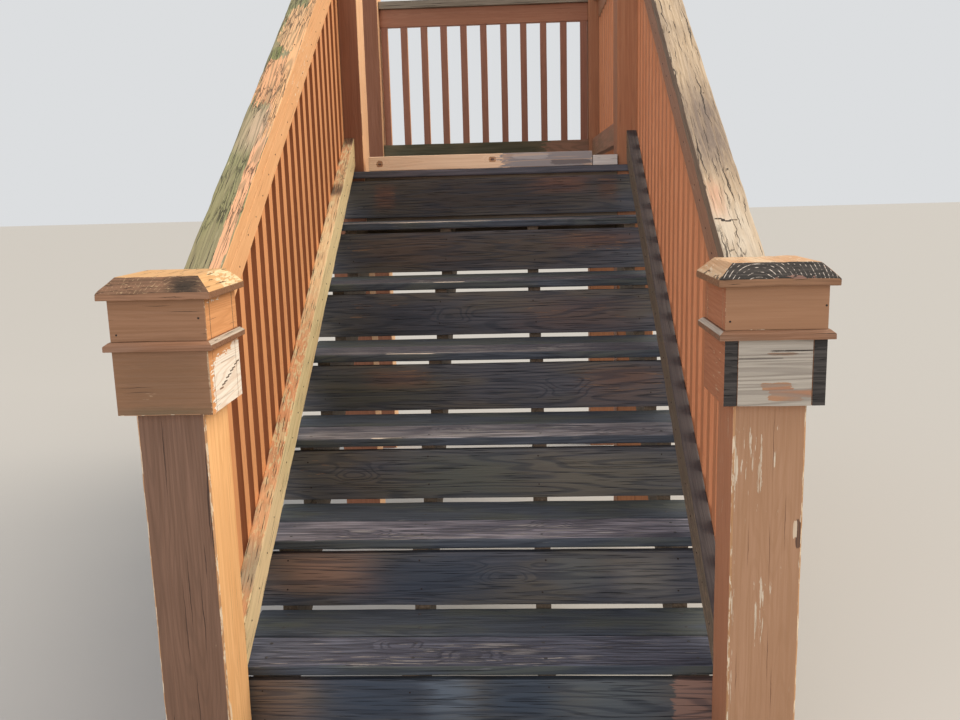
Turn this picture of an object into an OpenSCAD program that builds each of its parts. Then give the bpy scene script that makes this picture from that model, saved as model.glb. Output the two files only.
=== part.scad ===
// Wooden deck stair: two newels with built-up capitals, a flight of board treads and risers on
// cut stringers, sloping guards of square balusters, and a landing with its posts and guards.
// Millimetres. X runs across the flight, Y up the flight and Z up from the ground.

/* [Flight] */
// Height of one rise
rise = 188; // [150:1:230]
// Depth from one nose to the next
going = 276; // [220:1:330]
// Clear width between the two newels
newel_gap = 1032; // [700:1:1500]

/* [Treads and risers] */
// Width of one board of a tread or of the landing
board_w = 140; // [110:1:160]
// Thickness of those boards
board_t = 25; // [20:1:45]
// Gap between two boards
board_gap = 6; // [2:1:12]
// Corner worn off the long edges of a board
board_ease = 4; // [1:0.5:8]
// Overhang of a tread past the outer stringers
tread_over = 51; // [0:1:120]
// Width of a riser board
riser_h = 140; // [100:1:145]
// Thickness of a riser board
riser_t = 19; // [12:1:30]
// Set-back of a riser's face behind the nose above it
riser_back = 3; // [1:1:25]
// Clearance at the ends of a board that is cut to fit
fit_gap = 2; // [1:0.5:6]

/* [Stringers] */
// Thickness of stringers, rims, rails and handrails
plank_t = 38; // [30:1:50]
// Wood left below the cuts of a stringer, square to the slope
stringer_throat = 130; // [100:1:170]
// Distance of each inner carriage from the middle of the flight
carriage_x = 155; // [100:1:260]

/* [Newels] */
// Side of a newel
newel_w = 140; // [90:1:180]
// Corner worn off a newel
newel_ease = 4; // [1:0.5:8]
// Set-back of the second tread's nose behind the newels
newel_clear = 6; // [1:1:30]
// Height of a newel's top above the second tread
newel_h = 895; // [700:1:1100]
// Thickness of the boards wrapped round a newel's head
band_t = 25; // [15:1:32]
// Height of the lower band
lower_band_h = 128; // [80:1:180]
// Height of the moulding between the bands
mould_h = 18; // [12:1:35]
// How far the moulding stands out past the bands
mould_out = 12; // [6:1:20]
// Height of the upper band
upper_band_h = 82; // [50:1:120]
// Thickness of the cap block
cap_t = 43; // [25:1:60]
// How far the cap block stands out past the bands
cap_out = 16; // [5:1:25]
// Upright edge of the cap block below its bevel
cap_edge = 14; // [5:1:20]
// Width of the bevel round the cap block, seen from above
cap_bevel = 29; // [15:1:60]

/* [Flight guards] */
// Height of a handrail's top above the line of the noses
handrail_h = 789; // [700:1:950]
// Width of the handrail boards, of the lower rails and of the landing guards' rails
rail_w = 89; // [60:1:110]
// Width of the narrow rail below a handrail
upper_rail_w = 64; // [40:1:110]
// Height of a lower rail's underside above the line of the noses
lower_rail_h = 4; // [2:1:100]
// Side of a baluster
baluster_w = 34; // [25:1:45]
// Widest spacing of the flight's balusters along Y
flight_pitch = 80; // [60:1:120]

/* [Landing] */
// Depth of the landing from its nose to its back
landing_d = 1600; // [1000:1:2400]
// How far the landing runs out to the left of the left newel's inner face
landing_left = 239; // [200:1:700]
// Side of the posts that carry the landing and its guards
post_w = 140; // [90:1:180]
// Corner worn off those posts
post_ease = 4; // [1:0.5:8]
// Distance from the newels' inner faces in to the front posts' inner faces
post_in = 34; // [0:1:80]
// Height of the posts above the landing
post_h = 1000; // [940:1:1300]
// Width of the rim boards
rim_w = 286; // [230:1:320]
// Width of the joists
joist_w = 235; // [140:1:286]
// Number of joists
joists = 3; // [2:1:6]
// Height of the guards' caps above the landing
guard_h = 910; // [800:1:930]
// Height of a bottom rail's underside above the landing
bottom_rail_h = 85; // [50:1:180]
// Widest spacing of the landing's balusters
landing_pitch = 108; // [70:1:130]
// Height of the new board on the landing's front edge
edge_board_h = 54; // [30:1:70]
// Set-back of that board behind the landing's nose
edge_back = 4; // [0:1:20]
// Gap between that board's left end and the post
edge_gap = 20; // [1:1:60]
// Length of the short block beside that board
edge_block_l = 92; // [60:1:200]

/* [Hidden] */

treads = 7;

stain = "#B9784C";
stain_dark = "#8A5536";
weathered = "#4A443E";
lichen = "#7E7A55";
driftwood = "#B8A489";
pine = "#D9B48C";

slope = rise / going;
tall = 1 / cos(atan(slope));
half_gap = newel_gap / 2;
rail_in = half_gap - plank_t;
cut_back = riser_back + riser_t;
tread_x = half_gap + tread_over;

// Y of the nose of tread k, with the newels' front faces at zero
function nose_y(k) = newel_w + newel_clear + (k - 2) * going;
// Height of the line through the noses at y
function nosing_z(y) = 2 * rise + (y - nose_y(2)) * slope;

newel_top = 2 * rise + newel_h;
upper_band_z = newel_top - cap_t - upper_band_h;
mould_z = upper_band_z - mould_h;
lower_band_z = mould_z - lower_band_h;

landing_y = nose_y(treads + 1);
landing_z = (treads + 1) * rise;
back_y = landing_y + landing_d;
frame_y = landing_y + cut_back;
frame_z = landing_z - board_t;
rim_z = frame_z - rim_w;
post_x = half_gap - post_in;
right_x = post_x + post_w;
left_x = -half_gap - landing_left;
back_post_y = back_y - post_w;
guard_x = half_gap + plank_t;
guard_z = landing_z + guard_h;
post_top = landing_z + post_h;

x_min = min(left_x, -half_gap - newel_w - band_t - cap_out);
x_max = max(right_x, guard_x + rail_w, half_gap + newel_w + band_t + cap_out);
mid_x = (x_min + x_max) / 2;
mid_y = (nose_y(1) + back_y) / 2;

// The middle of the whole stair's plan comes over the origin
module place() {
    translate([-mid_x, -mid_y, 0])
        children();
}

// Turns a right-hand piece into a left-hand one when s is -1
module hand(s) {
    if (s > 0)
        children();
    else
        mirror([1, 0, 0])
            children();
}

// Rectangle with its four corners cut off
module eased(w, h, e) {
    polygon([[e, 0], [w - e, 0], [w, e], [w, h - e], [w - e, h], [e, h], [0, h - e], [0, e]]);
}

// Board along X from x0 to x1, with its low front edge at y and z
module board_x(x0, x1, y, z, w, t, e) {
    translate([x0, y, z])
        rotate([90, 0, 90])
            linear_extrude(x1 - x0)
                eased(w, t, e);
}

// Piece with its outline drawn in the YZ plane, from x to x + t
module side_cut(x, t) {
    translate([x, 0, 0])
        rotate([90, 0, 90])
            linear_extrude(t)
                children();
}

// Upright square timber from z0 to z1
module upright(x, y, z0, z1, w, e) {
    translate([x, y, z0])
        linear_extrude(z1 - z0)
            eased(w, w, e);
}

module newel_post(s) {
    color(stain) place() hand(s)
        upright(half_gap, 0, 0, newel_top - cap_t, newel_w, newel_ease);
}

// Four boards round a newel's head; either the front and back ones cover the others' ends or not
module band(s, z, h, front_covers) {
    a = front_covers ? band_t : 0;
    b = band_t - a;
    c = fit_gap / 2;
    color(stain) place() hand(s)
        translate([half_gap, 0, z]) {
            for (y = [-band_t, newel_w])
                translate([-a + (1 - a / band_t) * c, y, 0])
                    cube([newel_w + 2 * a - 2 * (1 - a / band_t) * c, band_t, h]);
            for (x = [-band_t, newel_w])
                translate([x, -b + (1 - b / band_t) * c, 0])
                    cube([band_t, newel_w + 2 * b - 2 * (1 - b / band_t) * c, h]);
        }
}

// Square block whose four top edges are bevelled
module bevelled(size, h, edge, bevel) {
    module profile()
        polygon([[0, 0], [size, 0], [size, edge], [size - bevel, h], [bevel, h], [0, edge]]);
    intersection() {
        translate([0, size, 0])
            rotate([90, 0, 0])
                linear_extrude(size)
                    profile();
        rotate([90, 0, 90])
            linear_extrude(size)
                profile();
    }
}

// Moulding round the head, cut away at the back where the handrail comes in
module newel_moulding(s) {
    out = band_t + mould_out;
    color(stain) place() hand(s)
        translate([half_gap - out, -out, mould_z])
            difference() {
                bevelled(newel_w + 2 * out, mould_h, mould_h * 0.6, mould_out * 0.7);
                translate([out, out, -1])
                    cube([newel_w, newel_w, mould_h + 2]);
                translate([out + plank_t - 1, out + rail_y, -1])
                    cube([rail_w + 2, mould_out + 1, mould_h + 2]);
            }
}

module newel_cap(s) {
    out = band_t + cap_out;
    color(stain) place() hand(s)
        translate([half_gap - out, -out, newel_top - cap_t])
            bevelled(newel_w + 2 * out, cap_t, cap_edge, cap_bevel);
}

// Sawtooth plank below the treads and behind the risers, from the ground to the landing's rim
module stringer(x) {
    drop = stringer_throat * tall;
    end_y = landing_y + cut_back;
    end_z = treads * rise - board_t;
    foot_y = nose_y(2) + cut_back + (board_t + drop - rise) / slope;
    cuts = [for (k = [1:treads]) each [[nose_y(k) + cut_back, k * rise - board_t],
                                       [nose_y(k + 1) + cut_back, k * rise - board_t]]];
    color(weathered) place()
        side_cut(x, plank_t)
            polygon(concat([[nose_y(1) + cut_back, 0]], cuts, [[end_y, end_z - drop], [foot_y, 0]]));
}

module carriages() {
    stringer(-carriage_x - plank_t / 2);
    stringer(carriage_x - plank_t / 2);
}

// Two boards; the first tread is cut to fit between the newels
module tread(k) {
    x = k == 1 ? half_gap - fit_gap / 2 : tread_x;
    color(weathered) place()
        for (i = [0, 1])
            board_x(-x, x, nose_y(k) + i * (board_w + board_gap), k * rise - board_t,
                    board_w, board_t, board_ease);
}

module risers() {
    gap = (rise - board_t - riser_h) / 2;
    color(weathered) place()
        for (k = [1:treads + 1]) {
            x = k == 1 ? half_gap - fit_gap / 2 : tread_x;
            translate([-x, nose_y(k) + riser_back, (k - 1) * rise + gap])
                cube([2 * x, riser_t, riser_h]);
        }
}

// Outline of a sloping board of width w whose underside is h above the line of the noses
module sloping(y0, y1, h, w) {
    polygon([[y0, nosing_z(y0) + h], [y1, nosing_z(y1) + h],
             [y1, nosing_z(y1) + h + w * tall], [y0, nosing_z(y0) + h + w * tall]]);
}

handrail_low = handrail_h - plank_t * tall;
upper_rail_low = handrail_low - upper_rail_w * tall;
rail_y = newel_w + band_t;

// The lower rails are flush with the newels' inner faces
module lower_rail(s) {
    color(stain_dark) place() hand(s)
        side_cut(half_gap, plank_t)
            sloping(newel_w, frame_y, lower_rail_h, rail_w);
}

module upper_rail(s) {
    color(stain) place() hand(s)
        side_cut(guard_x, plank_t)
            sloping(rail_y, frame_y, upper_rail_low, upper_rail_w);
}

module handrail(s) {
    color(s < 0 ? lichen : driftwood) place() hand(s)
        side_cut(guard_x, rail_w)
            sloping(rail_y, frame_y, handrail_low, plank_t);
}

// Even spacing of bars over a length, with the end bars close to the posts
function bars(length, widest) = ceil((length - baluster_w - 10) / widest) + 1;
function bar_at(length, n, i) = 5 + i * (length - baluster_w - 10) / (n - 1);

// Upright bars on the lower rail's outer face and below the upper rail, cut to the slope at both ends
module balusters(s) {
    length = frame_y - rail_y;
    n = bars(length, flight_pitch);
    color(stain) place() hand(s)
        side_cut(guard_x, baluster_w)
            for (i = [0:n - 1]) {
                y = rail_y + bar_at(length, n, i);
                polygon([[y, nosing_z(y) + lower_rail_h],
                         [y + baluster_w, nosing_z(y + baluster_w) + lower_rail_h],
                         [y + baluster_w, nosing_z(y + baluster_w) + upper_rail_low],
                         [y, nosing_z(y) + upper_rail_low]]);
            }
}

// Posts at the head of the flight, from the ground up through the landing
module landing_posts_front() {
    color(stain) place()
        for (s = [-1, 1])
            hand(s)
                upright(post_x, frame_y, 0, post_top, post_w, post_ease);
}

module landing_posts_back() {
    color(stain) place()
        for (x = [left_x, post_x])
            upright(x, back_post_y, 0, post_top, post_w, post_ease);
}

// Board between the front posts, and a short one from the left post to the landing's corner
module landing_rim_front() {
    color(weathered) place() {
        translate([-post_x, frame_y, rim_z])
            cube([2 * post_x, plank_t, rim_w]);
        translate([left_x, frame_y, rim_z])
            cube([-post_x - post_w - left_x, plank_t, rim_w]);
    }
}

module landing_rim_back() {
    color(weathered) place()
        translate([left_x + post_w, back_y - plank_t, rim_z])
            cube([post_x - left_x - post_w, plank_t, rim_w]);
}

module landing_rim_sides() {
    color(weathered) place() {
        translate([left_x, frame_y + plank_t, rim_z])
            cube([plank_t, back_post_y - frame_y - plank_t, rim_w]);
        translate([right_x - plank_t, frame_y + post_w, rim_z])
            cube([plank_t, back_post_y - frame_y - post_w, rim_w]);
    }
}

// The joists hang between the front and back rims
module landing_joists() {
    step = (2 * post_x - plank_t) / (joists + 1);
    color(weathered) place()
        for (i = [1:joists])
            translate([-post_x + i * step, frame_y + plank_t, frame_z - joist_w])
                cube([plank_t, back_y - frame_y - 2 * plank_t, joist_w]);
}

// Boards of the landing; those at the posts are cut to fit round them
module landing_boards() {
    n = floor((landing_d + board_gap) / (board_w + board_gap));
    wide = (landing_d - (n - 1) * board_gap) / n;
    hole = post_w + fit_gap;
    color(weathered) place()
        difference() {
            for (i = [0:n - 1])
                board_x(left_x, right_x, landing_y + i * (wide + board_gap), frame_z,
                        wide, board_t, board_ease);
            for (x = [-post_x - post_w, post_x])
                translate([x - fit_gap / 2, frame_y - fit_gap / 2, frame_z - 1])
                    cube([hole, hole, board_t + 2]);
            for (x = [left_x, post_x])
                translate([x - fit_gap / 2, back_post_y - fit_gap / 2, frame_z - 1])
                    cube([hole, hole, board_t + 2]);
        }
}

edge_x = post_x - fit_gap / 2;

module edge_board() {
    color(pine) place()
        board_x(-post_x + edge_gap, edge_x - edge_block_l - fit_gap, landing_y + edge_back, landing_z,
                plank_t, edge_board_h, 2);
}

module edge_block() {
    color(driftwood) place()
        board_x(edge_x - edge_block_l, edge_x, landing_y + edge_back, landing_z,
                plank_t, plank_t, 2);
}

back_l = post_x - left_x - post_w;
back_x = left_x + post_w;
side_y = frame_y + post_w;
side_l = back_post_y - side_y;
mid_post = post_w / 2;
guard_low = guard_h - plank_t - rail_w;

module back_guard_cap() {
    color(driftwood) place()
        translate([back_x, back_post_y + mid_post - rail_w / 2, guard_z - plank_t])
            cube([back_l, rail_w, plank_t]);
}

// The bottom rail stands in front of the balusters and the upper one above them
module back_guard_rails() {
    color(stain) place() {
        translate([back_x, back_post_y + mid_post - baluster_w / 2 - plank_t, landing_z + bottom_rail_h])
            cube([back_l, plank_t, rail_w]);
        translate([back_x, back_post_y + mid_post - plank_t / 2, landing_z + guard_low])
            cube([back_l, plank_t, rail_w]);
    }
}

module back_guard_balusters() {
    n = bars(back_l, landing_pitch);
    color(stain) place()
        for (i = [0:n - 1])
            translate([back_x + bar_at(back_l, n, i), back_post_y + mid_post - baluster_w / 2,
                       landing_z + bottom_rail_h])
                cube([baluster_w, baluster_w, guard_low - bottom_rail_h]);
}

module side_guard_cap() {
    color(driftwood) place()
        translate([post_x + mid_post - rail_w / 2, side_y, guard_z - plank_t])
            cube([rail_w, side_l, plank_t]);
}

module side_guard_rails() {
    color(stain) place() {
        translate([post_x + mid_post - baluster_w / 2 - plank_t, side_y, landing_z + bottom_rail_h])
            cube([plank_t, side_l, rail_w]);
        translate([post_x + mid_post - plank_t / 2, side_y, landing_z + guard_low])
            cube([plank_t, side_l, rail_w]);
    }
}

module side_guard_balusters() {
    n = bars(side_l, landing_pitch);
    color(stain) place()
        for (i = [0:n - 1])
            translate([post_x + mid_post - baluster_w / 2, side_y + bar_at(side_l, n, i),
                       landing_z + bottom_rail_h])
                cube([baluster_w, baluster_w, guard_low - bottom_rail_h]);
}

newel_post(-1);  // newel_post_left
newel_post(1);  // newel_post_right
band(-1, lower_band_z, lower_band_h, true);  // newel_lower_band_left
band(1, lower_band_z, lower_band_h, false);  // newel_lower_band_right
newel_moulding(-1);  // newel_moulding_left
newel_moulding(1);  // newel_moulding_right
band(-1, upper_band_z, upper_band_h, true);  // newel_upper_band_left
band(1, upper_band_z, upper_band_h, true);  // newel_upper_band_right
newel_cap(-1);  // newel_cap_left
newel_cap(1);  // newel_cap_right
stringer(-half_gap);  // stringer_left
stringer(rail_in);  // stringer_right
carriages();
tread(1);  // tread_1
tread(2);  // tread_2
tread(3);  // tread_3
tread(4);  // tread_4
tread(5);  // tread_5
tread(6);  // tread_6
tread(7);  // tread_7
risers();
lower_rail(-1);  // lower_rail_left
lower_rail(1);  // lower_rail_right
upper_rail(-1);  // upper_rail_left
upper_rail(1);  // upper_rail_right
handrail(-1);  // handrail_left
handrail(1);  // handrail_right
balusters(-1);  // balusters_left
balusters(1);  // balusters_right
landing_posts_front();
landing_posts_back();
landing_rim_front();
landing_rim_back();
landing_rim_sides();
landing_joists();
landing_boards();
edge_board();
edge_block();
back_guard_cap();
back_guard_rails();
back_guard_balusters();
side_guard_cap();
side_guard_rails();
side_guard_balusters();
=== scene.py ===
import math
import random
import bmesh
import bpy
from mathutils import Euler, Matrix, Vector, noise


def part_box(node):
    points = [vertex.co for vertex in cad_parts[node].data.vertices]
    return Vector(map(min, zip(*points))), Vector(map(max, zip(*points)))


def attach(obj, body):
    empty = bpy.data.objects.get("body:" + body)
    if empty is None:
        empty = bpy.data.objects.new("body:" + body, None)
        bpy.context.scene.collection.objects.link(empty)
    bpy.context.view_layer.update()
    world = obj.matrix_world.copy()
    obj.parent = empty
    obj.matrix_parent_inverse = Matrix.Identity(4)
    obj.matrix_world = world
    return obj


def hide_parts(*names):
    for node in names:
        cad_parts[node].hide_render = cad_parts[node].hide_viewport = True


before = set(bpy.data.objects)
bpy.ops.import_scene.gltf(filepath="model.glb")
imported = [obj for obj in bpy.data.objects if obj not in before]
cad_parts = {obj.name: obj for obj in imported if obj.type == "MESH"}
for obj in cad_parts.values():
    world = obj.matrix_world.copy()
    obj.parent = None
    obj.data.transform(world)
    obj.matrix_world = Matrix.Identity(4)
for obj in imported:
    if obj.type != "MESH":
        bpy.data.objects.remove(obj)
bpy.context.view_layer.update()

scene = bpy.context.scene
scene.view_settings.view_transform = "Standard"
scene.cycles.max_bounces = 5

# Camera
# It stands in front of the flight, a little right of its middle and 1.41 m over the ground,
# looks slightly down and is rolled a little. Its angles are in radians.
focal_px, photo_width_px = 912.82, 960
turn, dip, roll = -0.04839, 0.18042, -0.02671
ahead = Vector((math.sin(turn) * math.cos(dip), math.cos(turn) * math.cos(dip), -math.sin(dip)))
level = Vector((math.cos(turn), -math.sin(turn), 0))
above = level.cross(ahead)
side = math.cos(roll) * level + math.sin(roll) * above
top = -math.sin(roll) * level + math.cos(roll) * above
lens = bpy.data.cameras.new("camera")
lens.sensor_fit = "HORIZONTAL"
lens.sensor_width = 36
lens.lens = focal_px / photo_width_px * lens.sensor_width
lens.clip_start = 0.05
camera = bpy.data.objects.new("camera", lens)
camera.matrix_world = Matrix((
    (side.x, top.x, -ahead.x, 0.14316),
    (side.y, top.y, -ahead.y, -3.36546),
    (side.z, top.z, -ahead.z, 1.41030),
    (0, 0, 0, 1)))
scene.collection.objects.link(camera)
scene.camera = camera


# Floor and light
# A plain pale floor that runs out of sight, one large soft lamp high on the right, a weaker
# one in front, and an even pale sky.
def colour(code):
    """Turns an sRGB hex value into the linear colour that a socket takes."""
    values = [int(code[i:i + 2], 16) / 255 for i in (1, 3, 5)]
    linear = [v / 12.92 if v <= 0.04045 else ((v + 0.055) / 1.055) ** 2.4 for v in values]
    return (*linear, 1)


def put(tree, kind, settings={}, sockets={}):
    """Adds a node, sets its own settings, and gives each socket a value or a link."""
    made = tree.nodes.new(kind)
    for key, value in settings.items():
        setattr(made, key, value)
    for key, value in sockets.items():
        if isinstance(value, bpy.types.Node):
            value = value.outputs[0]
        if isinstance(value, bpy.types.NodeSocket):
            tree.links.new(value, made.inputs[key])
        else:
            made.inputs[key].default_value = value
    return made


floor_mesh = bpy.data.meshes.new("floor")
floor_mesh.from_pydata([(-60, -60, 0), (60, -60, 0), (60, 60, 0), (-60, 60, 0)], [], [(0, 1, 2, 3)])
floor = bpy.data.objects.new("floor", floor_mesh)
scene.collection.objects.link(floor)
pale = bpy.data.materials.new("pale_floor")
pale.use_nodes = True
pale.node_tree.nodes["Principled BSDF"].inputs["Base Color"].default_value = colour("#B4B2AE")
pale.node_tree.nodes["Principled BSDF"].inputs["Roughness"].default_value = 0.95
floor_mesh.materials.append(pale)

world = bpy.data.worlds.new("sky")
scene.world = world
world.use_nodes = True
sky = world.node_tree
sky.nodes.clear()
rays = put(sky, "ShaderNodeLightPath")
even = put(sky, "ShaderNodeBackground", {}, {"Color": colour("#E9EDF2"), "Strength": 0.66})
shown = put(sky, "ShaderNodeBackground", {}, {"Color": colour("#E1E3E5"), "Strength": 0.95})
both = put(sky, "ShaderNodeMixShader", {}, {0: rays.outputs["Is Camera Ray"], 1: even, 2: shown})
put(sky, "ShaderNodeOutputWorld", {}, {"Surface": both})


def lamp(name, kind, place, aim, power, tint, **more):
    """Adds a soft lamp that looks at a point."""
    light = bpy.data.lights.new(name, kind)
    light.energy = power
    light.color = colour(tint)[:3]
    for key, value in more.items():
        setattr(light, key, value)
    made = bpy.data.objects.new(name, light)
    made.location = place
    made.rotation_euler = (Vector(aim) - Vector(place)).to_track_quat("-Z", "Y").to_euler()
    scene.collection.objects.link(made)


lamp("main_lamp", "SUN", (6.6, 0.9, 7.2), (0, 0, 0), 3.6, "#FFF2E0", angle=math.radians(60))
lamp("front_lamp", "AREA", (-2.6, -6.8, 2.8), (0.2, -0.4, 1.0), 195, "#F8F7FF", size=4.0)


# Newel posts
# Two 140 mm square softwood posts, planed, with an orange-brown solid stain that has worn
# along the grain and at the corners; they stand on the ground and carry the rails.

# The rise and going of a step and the front edge of tread 2, in mm from the newels' fronts
RISE, GOING, TREAD_2 = 188, 276, 146

# How a timber lies, as the turn that brings its grain along x
ACROSS = (0, 0, 0)
BACKWARD = (0, 0, -math.pi / 2)
UPRIGHT = (0, math.pi / 2, 0)
UPHILL = (-math.atan2(RISE, GOING), 0, -math.pi / 2)
X, Y, Z = Vector((1, 0, 0)), Vector((0, 1, 0)), Vector((0, 0, 1))

# Without a seed the wobbles of the wood differ from run to run
noise.seed_set(11)


def at(x, y, z):
    """A point in the part's frame from millimetres measured at the foot of the flight."""
    return ((x + 29) / 1000, (y - 1636) / 1000, z / 1000)


def loose_parts(bm):
    """The vertices of each separate timber in a mesh, always in the same order."""
    left = set(bm.verts)
    groups = []
    for start in sorted(bm.verts, key=lambda v: tuple(round(c, 5) for c in v.co)):
        if start not in left:
            continue
        left.discard(start)
        group = [start]
        for v in group:
            for edge in v.link_edges:
                other = edge.other_vert(v)
                if other in left:
                    left.discard(other)
                    group.append(other)
        groups.append(group)
    return groups


def dressed(node, along, step=0.09, ease=0.0015, wobble=0.0006, shift=0.0, seed=1):
    """Copies a node's timbers, eases their edges and makes them slightly uneven, all in metres.

    Timbers are cut across every step so that they can bend; shift moves each one a little."""
    bm = bmesh.new()
    bm.from_mesh(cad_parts[node].data)
    bmesh.ops.remove_doubles(bm, verts=bm.verts, dist=1e-5)
    bmesh.ops.dissolve_limit(bm, angle_limit=math.radians(1), verts=bm.verts, edges=bm.edges)
    chance = random.Random(seed)
    if shift:
        for group in loose_parts(bm):
            middle = sum((v.co for v in group), Vector()) / len(group)
            tilt = Euler([chance.uniform(-1, 1) * shift * 1.2 for _ in range(3)]).to_matrix()
            move = Vector([chance.uniform(-1, 1) * shift for _ in range(3)])
            for v in group:
                v.co = middle + tilt @ (v.co - middle) + move
    sharp = [e for e in bm.edges if e.calc_face_angle(0) > math.radians(20)]
    bmesh.ops.bevel(bm, geom=sharp, offset=ease, segments=2, profile=0.6, affect="EDGES",
                    clamp_overlap=True)
    reach = [v.co.dot(along) for v in bm.verts]
    far = min(reach) + step / 2
    while far < max(reach):
        bmesh.ops.bisect_plane(bm, geom=bm.verts[:] + bm.edges[:] + bm.faces[:],
                               plane_co=along * far, plane_no=along)
        far += step
    offset = Vector((seed * 3.1, seed * 1.7, seed * 2.3))
    low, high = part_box(node)
    for v in bm.verts:
        for waves_per_m, share in ((9, 1.0), (45, 0.7)):
            v.co += wobble * share * noise.noise_vector(v.co * waves_per_m + offset)
        v.co = Vector([min(max(c, a), b) for c, a, b in zip(v.co, low, high)])
    mesh = bpy.data.meshes.new(node + "_wood")
    bm.to_mesh(mesh)
    bm.free()
    made = bpy.data.objects.new(node + "_wood", mesh)
    scene.collection.objects.link(made)
    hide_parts(node)
    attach(made, "root")
    return made


def coat(piece, slot, base, *sides):
    """Gives a piece its finish, and the faces that a test picks another one."""
    mesh = piece.data
    mesh.materials.append(base)
    for index, (chosen, finish) in enumerate(sides, 1):
        mesh.materials.append(finish)
        for face in mesh.polygons:
            if chosen(face.normal, face.center):
                face.material_index = index


def eased(normal):
    """True for the narrow faces that an eased edge of an upright or level timber has."""
    return max(abs(normal.x), abs(normal.y), abs(normal.z)) < 0.975


# The settings of a node that mixes two colours and of one that eases between two values
COLOURS = {"data_type": "RGBA"}
SMOOTH = {"interpolation_type": "SMOOTHSTEP"}


def distance(tree, where, mark):
    """How far a point is from a mark: 1 at the sides of a soft-cornered box.

    A mark starts with six numbers in mm: the place of its middle and half its size each way."""
    half = [side / 1000 for side in mark[3:6]]
    away = put(tree, "ShaderNodeVectorMath", {"operation": "SUBTRACT"}, {0: where, 1: at(*mark[:3])})
    away = put(tree, "ShaderNodeVectorMath", {"operation": "DIVIDE"}, {0: away, 1: half})
    away = put(tree, "ShaderNodeVectorMath", {"operation": "MULTIPLY"}, {0: away, 1: away})
    away = put(tree, "ShaderNodeVectorMath", {"operation": "LENGTH"}, {0: away}).outputs["Value"]
    return put(tree, "ShaderNodeMath", {"operation": "SQRT"}, {0: away}).outputs[0]


def check_lines(tree, laid, share, strip, length, width, wander):
    """Drying checks: in each strip along the grain, now and then one thin line that tapers out.

    share is the part of the cells that have one. A cell's strip and length, and the widest a line
    gets, are in mm. The finest real checks are a hair wide; they are drawn 0.5 mm wide to show."""
    # The strips sway slowly, so that no line runs dead straight
    parts = put(tree, "ShaderNodeSeparateXYZ", {}, {0: laid})
    fine = put(tree, "ShaderNodeVectorMath", {"operation": "MULTIPLY"},
               {0: laid, 1: (3500 / length, 700 / strip, 700 / strip)})
    sway = put(tree, "ShaderNodeTexNoise", {},
               {"Vector": fine, "Scale": 1.0, "Detail": 3.0, "Roughness": 0.6})
    across = put(tree, "ShaderNodeMath", {"operation": "MULTIPLY_ADD"},
                 {0: parts.outputs["Z"], 1: 0.8, 2: parts.outputs["Y"]})
    across = put(tree, "ShaderNodeMath", {"operation": "MULTIPLY"}, {0: across, 1: 1000 / strip})
    across = put(tree, "ShaderNodeMath", {"operation": "MULTIPLY_ADD"}, {0: sway, 1: wander, 2: across})
    column = put(tree, "ShaderNodeMath", {"operation": "FLOOR"}, {0: across})
    phase = put(tree, "ShaderNodeTexWhiteNoise", {"noise_dimensions": "1D"}, {"W": column}).outputs["Value"]
    along = put(tree, "ShaderNodeMath", {"operation": "MULTIPLY_ADD"},
                {0: parts.outputs["X"], 1: 1000 / length, 2: phase})
    row = put(tree, "ShaderNodeMath", {"operation": "FLOOR"}, {0: along})
    cell = put(tree, "ShaderNodeCombineXYZ", {}, {"X": column, "Y": row})
    dice = put(tree, "ShaderNodeTexWhiteNoise", {"noise_dimensions": "3D"}, {"Vector": cell}).outputs["Color"]
    dice = put(tree, "ShaderNodeSeparateColor", {}, {0: dice})

    # Three throws for each cell say whether it has a line, where across it and how long
    there = put(tree, "ShaderNodeMath", {"operation": "LESS_THAN"}, {0: dice.outputs[0], 1: share})
    beside = put(tree, "ShaderNodeMath", {"operation": "SUBTRACT"}, {0: across, 1: column})
    beside = put(tree, "ShaderNodeMath", {"operation": "MULTIPLY_ADD"},
                 {0: dice.outputs[1], 1: -0.5, 2: beside})
    beside = put(tree, "ShaderNodeMath", {"operation": "SUBTRACT"}, {0: beside, 1: 0.25})
    beside = put(tree, "ShaderNodeMath", {"operation": "ABSOLUTE"}, {0: beside})
    before = put(tree, "ShaderNodeMath", {"operation": "SUBTRACT"}, {0: along, 1: row})
    before = put(tree, "ShaderNodeMath", {"operation": "SUBTRACT"}, {0: before, 1: 0.5})
    half = put(tree, "ShaderNodeMath", {"operation": "MULTIPLY_ADD"}, {0: dice.outputs[2], 1: 0.32, 2: 0.16})
    taper = put(tree, "ShaderNodeMath", {"operation": "DIVIDE"}, {0: before, 1: half})
    taper = put(tree, "ShaderNodeMath", {"operation": "MULTIPLY"}, {0: taper, 1: taper})
    taper = put(tree, "ShaderNodeMath", {"operation": "MULTIPLY_ADD"}, {0: taper, 1: -width, 2: width})

    # Its edge is soft over half a millimetre
    inside = put(tree, "ShaderNodeMath", {"operation": "MULTIPLY_ADD"}, {0: beside, 1: -strip, 2: taper})
    inside = put(tree, "ShaderNodeMath", {"operation": "MULTIPLY", "use_clamp": True}, {0: inside, 1: 2.2})
    return put(tree, "ShaderNodeMath", {"operation": "MULTIPLY"}, {0: inside, 1: there}).outputs[0]


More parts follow.
